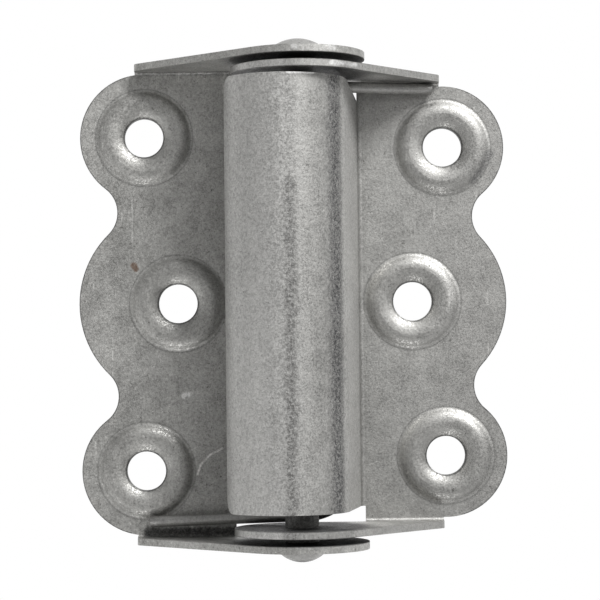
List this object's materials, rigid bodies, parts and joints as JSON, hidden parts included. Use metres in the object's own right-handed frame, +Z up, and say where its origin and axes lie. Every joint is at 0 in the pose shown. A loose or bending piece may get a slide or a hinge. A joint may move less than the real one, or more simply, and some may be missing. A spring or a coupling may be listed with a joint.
{
  "type": "spring loaded door hinge",
  "caption": "Full-surface spring hinge of zinc-coated sheet steel: scalloped leaves with dished screw bosses, a rolled barrel over a torsion spring and a riveted pin; swings a light door shut.",
  "frame": {"origin": "middle of the line between the barrel leaf's two end screw holes, on the leaf's back face, which lies on the door frame", "axes": "+Z up along the pin, +X from the pin to the barrel leaf's outer edge, +Y into the surface that the leaves are screwed to"},
  "size_m": [0.0623, 0.0205, 0.0739],
  "materials": {
    "barrel_leaf_steel": "zinc-coated sheet steel, dull grey with a fine mottle",
    "outer_leaf_steel": "zinc-coated sheet steel, dull grey with a fine mottle",
    "pin_steel": "zinc-coated steel rivet",
    "spring_steel": "drawn spring wire"
  },
  "bodies": {
    "fixed_side": {"barrel_leaf": "barrel_leaf_steel", "hinge_pin": "pin_steel", "torsion_spring": "spring_steel"},
    "swinging_side": {"outer_leaf": "outer_leaf_steel"}
  },
  "joints": [
    {"name": "leaf_swing", "type": "hinge", "parent": "fixed_side", "child": "swinging_side", "pos_m": [-0.0211, -0.011, 0], "axis": [0, 0, 1], "range_deg": [0, 180], "stiffness_Nm_per_rad": 0.3, "deforming": ["torsion_spring"]}
  ]
}
